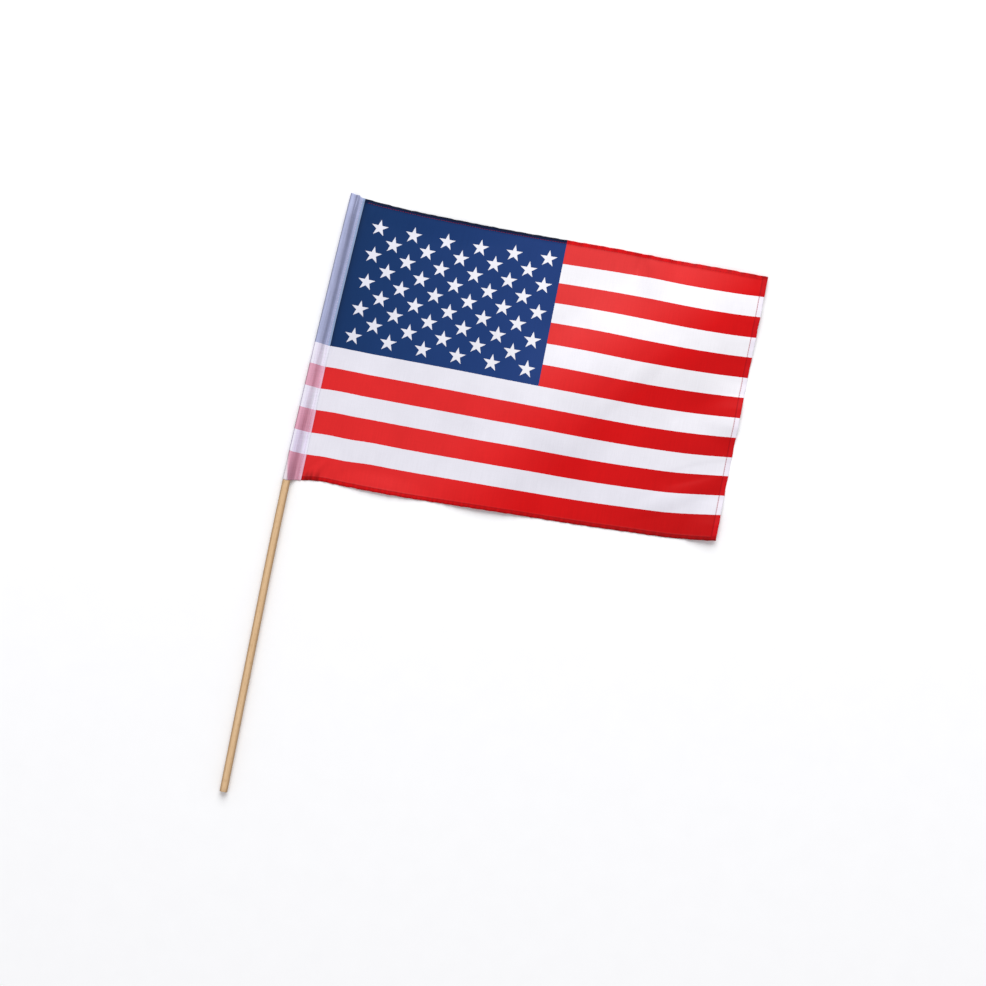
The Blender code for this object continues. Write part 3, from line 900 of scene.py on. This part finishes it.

    # Hems: three layers let less light through, which deepens the inks and leaves the white.
    # Painted shade makes their outer folds darker still.
    from_top = add(tree, MATH, {0: HOIST, 1: cut_up}, operation="SUBTRACT")[0]
    from_side = add(tree, MATH, {0: from_top, 1: cut_up}, operation="MINIMUM")[0]
    side_hem = add(tree, MATH, {0: from_side, 1: HEM}, operation="LESS_THAN")[0]
    from_fly = add(tree, MATH, {0: FLY, 1: cut_along}, operation="SUBTRACT")[0]
    fly_hem = add(tree, MATH, {0: from_fly, 1: FLY_HEM}, operation="LESS_THAN")[0]
    side_inks = inks("#eceaf3", "#d80a10", "#ac080c", "#101a42", "#eceaf3")
    front = add(tree, MIX, {0: side_hem, 6: front, 7: side_inks}, **COVERED)[2]
    fly_inks = inks("#ece6f0", "#c21218", "#c41016", "#101a42", "#ece6f0")
    front = add(tree, MIX, {0: fly_hem, 6: front, 7: fly_inks}, **COVERED)[2]
    # Painted shade on the outer 1.7 mm of the top and bottom hems, where they fold over.
    rim = add(tree, MATH, {0: from_side, 1: 1.7 * MM}, operation="LESS_THAN")[0]
    fold_shade_share = add(tree, MATH, {0: rim, 1: 0.7}, operation="MULTIPLY")[0]
    fold_shade_inks = inks("#e4e2ec", "#cc0a12", "#a4080c", "#02030e", "#e4e2ec")
    front = add(tree, MIX, {0: fold_shade_share, 6: front, 7: fold_shade_inks}, **COVERED)[2]

    # The stitches pull the cloth in, and painted shade lies in that groove: a faint dark line along
    # the bottom and fly hems.
    side_line = add(tree, MATH, {0: cut_up, 1: HEM, 2: 0.7 * MM}, operation="COMPARE")[0]
    fly_line = add(tree, MATH, {0: from_fly, 1: FLY_HEM, 2: 0.6 * MM}, operation="COMPARE")[0]
    line = add(tree, MATH, {0: side_line, 1: fly_line}, operation="MAXIMUM")[0]
    stitch_groove_shade = add(tree, MATH, {0: line, 1: 0.4}, operation="MULTIPLY")[0]
    front = add(tree, MIX, {0: stitch_groove_shade, 6: front, 7: colour("#b84040")}, **MULTIPLIED)[2]

    # Painted shade in the gathers, beside the strip and on the sleeve deepens the inks, and the
    # white hardly. The strip's own fold shows more of the ink below it, and where the painted shade
    # goes past 1 it is grey.
    shade = add(tree, "ShaderNodeAttribute", {}, attribute_name="shade")["Fac"]
    shaded_front = inks("#e0dee9", "#780606", "#640404", "#0a1c34", "#d4d2de")
    front = add(tree, MIX, {0: shade, 6: front, 7: shaded_front}, **COVERED)[2]
    shaded_back = inks("#e0d5ec", "#c5899e", "#c5899e", "#9397b5", "#9c9cb4")
    back = add(tree, MIX, {0: shade, 6: back, 7: shaded_back}, **COVERED)[2]
    folded = add(tree, "ShaderNodeAttribute", {}, attribute_name="folded")["Fac"]
    folded_back = inks("#e8e6f2", "#e0adc2", "#e0adc2", "#8a9dbd", "#c8cadc")
    back = add(tree, MIX, {0: folded, 6: back, 7: folded_back}, **COVERED)[2]
    beyond = add(tree, MATH, {0: shade, 1: 1.0}, operation="SUBTRACT")[0]
    unprinted = add(tree, "ShaderNodeAttribute", {}, attribute_name="unprinted")["Fac"]
    back = add(tree, MIX, {0: unprinted, 6: back, 7: colour("#e0d6dc")}, **COVERED)[2]
    back = add(tree, MIX, {0: beyond, 6: back, 7: colour("#a6a2a8")}, **MULTIPLIED)[2]

    back_side = add(tree, "ShaderNodeAttribute", {}, attribute_name="back_side")["Fac"]
    whole = add(tree, MIX, {0: back_side, 6: front, 7: back}, **COVERED)[2]

    # Threads: streaks a millimetre wide run up the hoist, with a finer one across them. The real
    # threads are 0.15 mm apart, too fine to show, so the streaks stand for bundles of them.
    streaks = stretched_noise(tree, cut, (1000.0, 45.0), 2.0)
    across = stretched_noise(tree, cut, (60.0, 900.0), 1.0)
    threads = add(tree, MATH, {0: across, 1: 0.4, 2: streaks}, operation="MULTIPLY_ADD")[0]
    spread = add(tree, MATH, {0: threads, 1: 0.7}, operation="SUBTRACT")[0]
    amount = add(tree, "ShaderNodeMapRange", {0: back_side, 3: 0.10, 4: 0.42})[0]
    amount = add(tree, MATH, {0: red, 1: 0.07, 2: amount}, operation="MULTIPLY_ADD")[0]
    streaked = add(tree, MATH, {0: spread, 1: amount, 2: 1.0}, operation="MULTIPLY_ADD")[0]

    # Faint patches some centimetres wide, lighter and duller by turns.
    mottle = add(tree, "ShaderNodeTexNoise", {"Vector": cut, "Scale": 26.0, "Detail": 3.0})["Fac"]
    patches = add(tree, "ShaderNodeMapRange", {0: mottle, 1: 0.3, 2: 0.7, 3: 0.97, 4: 1.03})[0]
    tone = add(tree, MATH, {0: streaked, 1: patches}, operation="MULTIPLY")[0]
    toned = add(tree, MIX, {0: 1.0, 6: whole, 7: tone}, **MULTIPLIED)[2]

    links = {"Height": threads, "Distance": 0.05 * MM, "Strength": 0.6}
    weave = add(tree, "ShaderNodeBump", links)[0]
    rough = add(tree, "ShaderNodeMapRange", {0: mottle, 1: 0.3, 2: 0.7, 3: 0.36, 4: 0.44})[0]
    shader = add(
        tree,
        "ShaderNodeBsdfPrincipled",
        {
            "Base Color": toned,
            "Roughness": rough,
            "Normal": weave,
            "Specular IOR Level": 0.08,
            "Sheen Weight": 0.04,
            "Sheen Roughness": 0.4,
        },
    )[0]
    add(tree, "ShaderNodeOutputMaterial", {"Surface": shader})
    return material


def sanded_dowel():
    """Pale birch dowel, turned and sanded, without varnish.

    To the eye it is a warm straw colour with fine darker grain lines along it, and matt all over.
    Painted shade darkens its two sides.
    """
    material, tree = new_material("sanded birch")
    grain = add(tree, "ShaderNodeUVMap", {}, uv_map="grain")[0]

    # Grain lines lie 0.7 mm apart, bands of tint 4 mm, and flecks are 0.4 mm wide and 6 mm long.
    lines = stretched_noise(tree, grain, (1400.0, 22.0), 3.0)
    bands = stretched_noise(tree, grain, (260.0, 7.0), 2.0)
    flecks = stretched_noise(tree, grain, (2600.0, 170.0), 0.0)
    line_share = add(tree, "ShaderNodeMapRange", {0: lines, 1: 0.35, 2: 0.7, 3: 0.0, 4: 0.55})[0]
    fleck_share = add(tree, "ShaderNodeMapRange", {0: flecks, 1: 0.66, 2: 0.76, 3: 0.0, 4: 0.5})[0]
    ground = add(tree, MIX, {0: bands, 6: colour("#e6c79e"), 7: colour("#d5b086")}, **COVERED)[2]
    lined = add(tree, MIX, {0: line_share, 6: ground, 7: colour("#c39a68")}, **COVERED)[2]
    flecked = add(tree, MIX, {0: fleck_share, 6: lined, 7: colour("#9a7245")}, **COVERED)[2]

    # Painted shade: the dowel's two sides, level with its axis, are darker than its top.
    around = add(tree, "ShaderNodeSeparateXYZ", {0: grain})[0]
    counted = {0: around, 1: 1.0 / (math.pi * STICK_RADIUS), 2: 0.5}
    half_turns = add(tree, MATH, counted, operation="MULTIPLY_ADD")[0]
    within = add(tree, MATH, {0: half_turns}, operation="FRACT")[0]
    from_side = add(tree, MATH, {0: within, 1: 0.5}, operation="SUBTRACT")[0]
    aside = add(tree, MATH, {0: from_side}, operation="ABSOLUTE")[0]
    painted_side_shade = add(tree, "ShaderNodeMapRange", {0: aside, 1: 0.18, 2: 0.38, 3: 0.8, 4: 0.0})[0]
    flecked = add(tree, MIX, {0: painted_side_shade, 6: flecked, 7: colour("#bcae9a")}, **MULTIPLIED)[2]
    links = {"Height": lines, "Distance": 0.04 * MM, "Strength": 0.5}
    pores = add(tree, "ShaderNodeBump", links)[0]
    links = {"Base Color": flecked, "Roughness": 0.62, "Normal": pores, "Specular IOR Level": 0.35}
    shader = add(tree, "ShaderNodeBsdfPrincipled", links)[0]
    add(tree, "ShaderNodeOutputMaterial", {"Surface": shader})
    return material


def sewing_thread(name, dark, light):
    """Polyester sewing thread: spun of two plies, with a slight shine that breaks up along it."""
    material, tree = new_material(name)
    place = add(tree, "ShaderNodeTexCoord", {})["Object"]
    links = {"Vector": place, "Scale": 3500.0, "Detail": 1.0}
    plies = add(tree, "ShaderNodeTexNoise", links)["Fac"]
    tint = add(tree, MIX, {0: plies, 6: colour(dark), 7: colour(light)}, **COVERED)[2]
    links = {"Height": plies, "Distance": 0.03 * MM, "Strength": 0.6}
    twist = add(tree, "ShaderNodeBump", links)[0]
    links = {"Base Color": tint, "Roughness": 0.5, "Normal": twist, "Specular IOR Level": 0.1}
    shader = add(tree, "ShaderNodeBsdfPrincipled", links)[0]
    add(tree, "ShaderNodeOutputMaterial", {"Surface": shader})
    return material


def studio_paper():
    """Matt white background paper, with the faintest unevenness."""
    material, tree = new_material("matt white paper")
    place = add(tree, "ShaderNodeTexCoord", {})["Object"]
    fibres = add(tree, "ShaderNodeTexNoise", {"Vector": place, "Scale": 40.0, "Detail": 2.0})["Fac"]
    tint = add(tree, MIX, {0: fibres, 6: colour("#f8f8f8"), 7: colour("#fbfbfb")}, **COVERED)[2]
    shader = add(tree, "ShaderNodeBsdfPrincipled", {"Base Color": tint, "Roughness": 0.9})[0]
    add(tree, "ShaderNodeOutputMaterial", {"Surface": shader})
    return material


def make_floor():
    """A wide flat floor at z = 0."""
    corners = 4.0 * np.array([(-1, -1, 0), (1, -1, 0), (1, 1, 0), (-1, 1, 0)])
    floor = put_into_mesh("floor", corners, [(0, 1, 2, 3)], studio_paper())


def make_camera():
    """A long lens straight above, turned as the picture is."""
    data = bpy.data.cameras.new("camera")
    data.lens = LENS
    data.sensor_width = SENSOR
    data.clip_end = 20.0
    camera = bpy.data.objects.new("camera", data)
    camera.location = (*PICTURE_MIDDLE, PICTURE_WIDTH * LENS / SENSOR)
    camera.rotation_euler = (0.0, 0.0, PICTURE_TURN)
    bpy.context.scene.collection.objects.link(camera)
    bpy.context.scene.camera = camera


def make_lamp(name, direction, distance, size, power, tint):
    """A square soft light that shines at the flag.

    Its direction is given as the picture has it: to the right, up, and towards the eye.
    """
    right = np.array([math.cos(PICTURE_TURN), math.sin(PICTURE_TURN), 0.0])
    upward = np.array([-math.sin(PICTURE_TURN), math.cos(PICTURE_TURN), 0.0])
    way = direction[0] * right + direction[1] * upward + direction[2] * np.array([0.0, 0.0, 1.0])
    way = way / np.linalg.norm(way)
    data = bpy.data.lights.new(name, "AREA")
    data.shape = "SQUARE"
    data.size = size
    data.energy = power
    data.color = colour(tint)[:3]
    lamp = bpy.data.objects.new(name, data)
    lamp.location = np.array(FLAG_MIDDLE) + distance * way
    pitch = math.acos(way[2])
    heading = math.atan2(way[1], way[0]) + math.pi / 2.0
    lamp.rotation_euler = (pitch, 0.0, heading)
    lamp.visible_camera = False
    bpy.context.scene.collection.objects.link(lamp)


def make_light():
    """Soft studio light: a big softbox beyond the picture's top edge and an even white surround."""
    make_lamp("softbox", (0.1, 1.0, 0.94), distance=5.0, size=3.8, power=232.0, tint="#ffffff")
    world = bpy.data.worlds.new("surround")
    world.use_nodes = True
    background = world.node_tree.nodes["Background"]
    background.inputs[0].default_value = colour("#fbfbff")
    background.inputs[1].default_value = 0.58
    bpy.context.scene.world = world
    bpy.context.scene.view_settings.view_transform = "Standard"


cloth = make_cloth(printed_cloth())
hem_thread = make_hem_thread(sewing_thread("red polyester thread", "#8c1020", "#b41a2c"))
seam_thread = make_seam_thread(sewing_thread("white polyester thread", "#c9bfd0", "#e6deec"))
stick = make_stick(sanded_dowel())
make_floor()
make_camera()
make_light()

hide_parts("flag_cloth")
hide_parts("stick")
for piece in (cloth, hem_thread, seam_thread, stick):
    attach(piece, "root")
